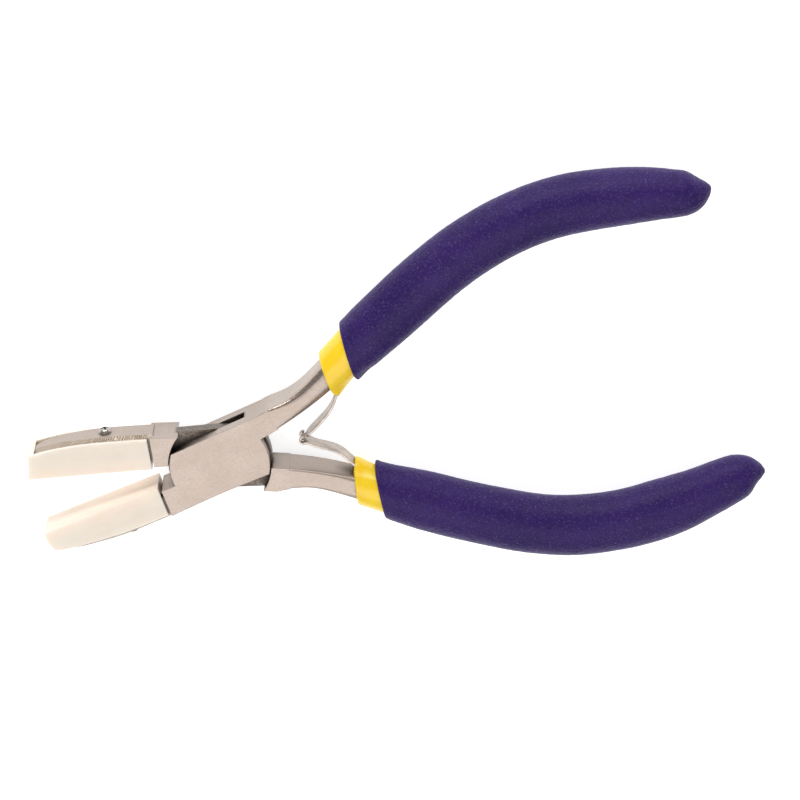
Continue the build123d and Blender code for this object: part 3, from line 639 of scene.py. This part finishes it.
def ribbon(bm, pts, thick, z_of, round_r=0.1):
    """A flat strip with rounded corners along pts (mm, closely spaced); z_of(u) gives its low and high edge."""
    rows = []
    n = len(pts)
    for i, p in enumerate(pts):
        a, b = pts[max(i - 1, 0)], pts[min(i + 1, n - 1)]
        t = (b - a).normalized()
        m = Vector((-t.y, t.x))
        z0, z1 = z_of(i / (n - 1))
        h, r = thick / 2, round_r
        loop = []
        for cx, cz, a0 in ((h - r, z1 - r, 0), (-(h - r), z1 - r, 90), (-(h - r), z0 + r, 180), (h - r, z0 + r, 270)):
            for kk in range(4):
                an = math.radians(a0 + kk * 30)
                loop.append((cx + r * math.cos(an), cz + r * math.sin(an)))
        row = [bm.verts.new(Vector((p.x + m.x * o, p.y + m.y * o, ZM + z)) * MM) for o, z in loop]
        rows.append(row)
    k = len(rows[0])
    for r0, r1 in zip(rows, rows[1:]):
        for j in range(k):
            i = (j + 1) % k
            bm.faces.new((r0[j], r0[i], r1[i], r1[j]))
    bm.faces.new(rows[0])
    bm.faces.new(list(reversed(rows[-1])))


def resample(pts, step=0.15):
    path = Path(pts)
    n = max(8, int(path.length / step))
    return [path.by_length(path.length * i / n)[0] for i in range(n + 1)]


EYE = Vector((16.85, 0.3))
UP_PTS = [(17.75, 0.78), (20.0, 2.3), (22.0, 3.68), (23.6, 5.05), (24.6, 6.25), (25.5, 7.7), (28.3, 10.9), (32.6, 14.15)]
LOW_PTS = [(17.2, -0.35), (18.85, -1.42), (20.65, -2.45), (22.05, -3.27), (23.1, -4.15), (24.05, -5.35), (24.85, -6.65), (27.65, -9.8), (32.0, -13.1)]
W = 1.9

bm = bmesh.new()
up = resample(UP_PTS)
ribbon(bm, up, LEAF_T, lambda u: (-W + 0.55 * max(0, 1 - u / 0.05) ** 2, W - 0.55 * max(0, 1 - u / 0.05) ** 2))
ribbon(bm, resample([(18.5, 1.3), (17.75, 0.78), (17.3, 0.5), (16.9, 0.3)], 0.08), 0.36, lambda u: (-1.0, 1.0), 0.08)
ring = [Vector((EYE.x + 0.3 * math.cos(t * math.pi / 12), EYE.y + 0.3 * math.sin(t * math.pi / 12))) for t in range(24)]
for z0, z1 in ((-1.75, 1.75),):
    prev = None
    for f, z in ((0.7, z0), (1.0, z0 + 0.09), (1.0, z1 - 0.09), (0.7, z1)):
        row = [bm.verts.new(Vector((EYE.x + (q.x - EYE.x) * f, EYE.y + (q.y - EYE.y) * f, ZM + z)) * MM) for q in ring]
        if prev:
            for j in range(24):
                i = (j + 1) % 24
                bm.faces.new((prev[j], prev[i], row[i], row[j]))
        else:
            bm.faces.new(list(reversed(row)))
        prev = row
    bm.faces.new(prev)
bmesh.ops.recalc_face_normals(bm, faces=bm.faces)
leaf = new_object("upper_leaf_strip", bm, SPRING)
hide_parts("upper_leaf_spring")
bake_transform(leaf)

bm = bmesh.new()
arc = [(EYE.x + 0.62 * math.cos(math.radians(a)), EYE.y + 0.62 * math.sin(math.radians(a))) for a in range(-100, -312, -12)]
lead = resample([(16.85 - 0.12, 0.3 - 0.67)] + [(16.95, -0.34), (17.3, -0.42)] + LOW_PTS[1:])
ribbon(bm, lead, LEAF_T, lambda u: (-W, W))
for z0, z1 in ((-W, -1.18), (1.18, W)):
    ribbon(bm, [Vector(a) for a in arc], 0.36, lambda u, z0=z0, z1=z1: (z0, z1), 0.07)
bmesh.ops.recalc_face_normals(bm, faces=bm.faces)
leaf = new_object("lower_leaf_strip", bm, SPRING)
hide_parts("lower_leaf_spring")
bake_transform(leaf)


# ---------------------------------------------------------------- floor, light, camera
def plane(name, size, z, material):
    bm = bmesh.new()
    bmesh.ops.create_grid(bm, x_segments=2, y_segments=2, size=size)
    ob = new_object(name, bm, material)
    ob.location = (0.03, 0, z)
    return ob


f = Mat("pale_floor")
f.set(color=f.mix(f.noise(f.p, 0.004, 2.0), (0.56, 0.56, 0.56), (0.58, 0.58, 0.577)), rough=0.7, spec=0.2)
f.bsdf.inputs["Emission Color"].default_value = (1.0, 1.0, 1.0, 1.0)
f.bsdf.inputs["Emission Strength"].default_value = 0.80
plane("floor", 3.0, cad_lo.z - 0.00012, f.m)

world = bpy.data.worlds.new("studio")
bpy.context.scene.world = world
world.use_nodes = True
wt = world.node_tree
bg = wt.nodes["Background"]
tc = wt.nodes.new("ShaderNodeTexCoord")
sp = wt.nodes.new("ShaderNodeSeparateXYZ")
wt.links.new(tc.outputs["Generated"], sp.inputs[0])
# darker towards the upper handle's side, brighter overhead and on the near side
mr = wt.nodes.new("ShaderNodeMapRange")
wt.links.new(sp.outputs[1], mr.inputs["Value"])
for key, v in (("From Min", 0.75), ("From Max", -0.35), ("To Min", 0.18), ("To Max", 0.50)):
    mr.inputs[key].default_value = v
mr.interpolation_type = "SMOOTHSTEP"
wt.links.new(mr.outputs[0], bg.inputs[1])
bg.inputs[0].default_value = (1.0, 0.985, 0.97, 1.0)



def area(name, loc, target, sx, sy, power, color=(1, 1, 1)):
    d = bpy.data.lights.new(name, "AREA")
    d.shape, d.size, d.size_y, d.energy, d.color = "RECTANGLE", sx, sy, power, color
    o = bpy.data.objects.new(name, d)
    bpy.context.scene.collection.objects.link(o)
    o.location = loc
    o.rotation_mode = "QUATERNION"
    o.rotation_quaternion = (Vector(target) - Vector(loc)).to_track_quat("-Z", "Y")
    return o


C = (0.035, 0.0, 0.004)
area("key", (0.10, 0.68, 0.31), C, 0.85, 0.20, 3.6, (1.0, 0.99, 0.98))
area("top", (-0.10, -0.28, 0.70), C, 0.9, 0.7, 2.8, (1.0, 0.985, 0.97))
area("fill", (-0.5, -0.3, 0.35), C, 0.4, 0.4, 0.5, (0.97, 0.98, 1.0))

cam = bpy.data.cameras.new("camera")
cam.sensor_width, cam.lens = 36.0, 180.0
cam.clip_start, cam.clip_end = 0.01, 20
cobj = bpy.data.objects.new("camera", cam)
bpy.context.scene.collection.objects.link(cobj)
right = Vector((0.96858316, -0.24868989, 0.0))
upv = Vector((0.22892025, 0.8915855, -0.39073113))
back = Vector((0.09717088, 0.37845559, 0.92050485))
loc = Vector((0.11296253, 0.29840059, 0.72189379))
m = Matrix.Identity(4)
for i in range(3):
    m[i][0], m[i][1], m[i][2], m[i][3] = right[i], upv[i], back[i], loc[i]
cobj.matrix_world = m
bpy.context.scene.camera = cobj
bpy.context.scene.view_settings.view_transform = "Standard"
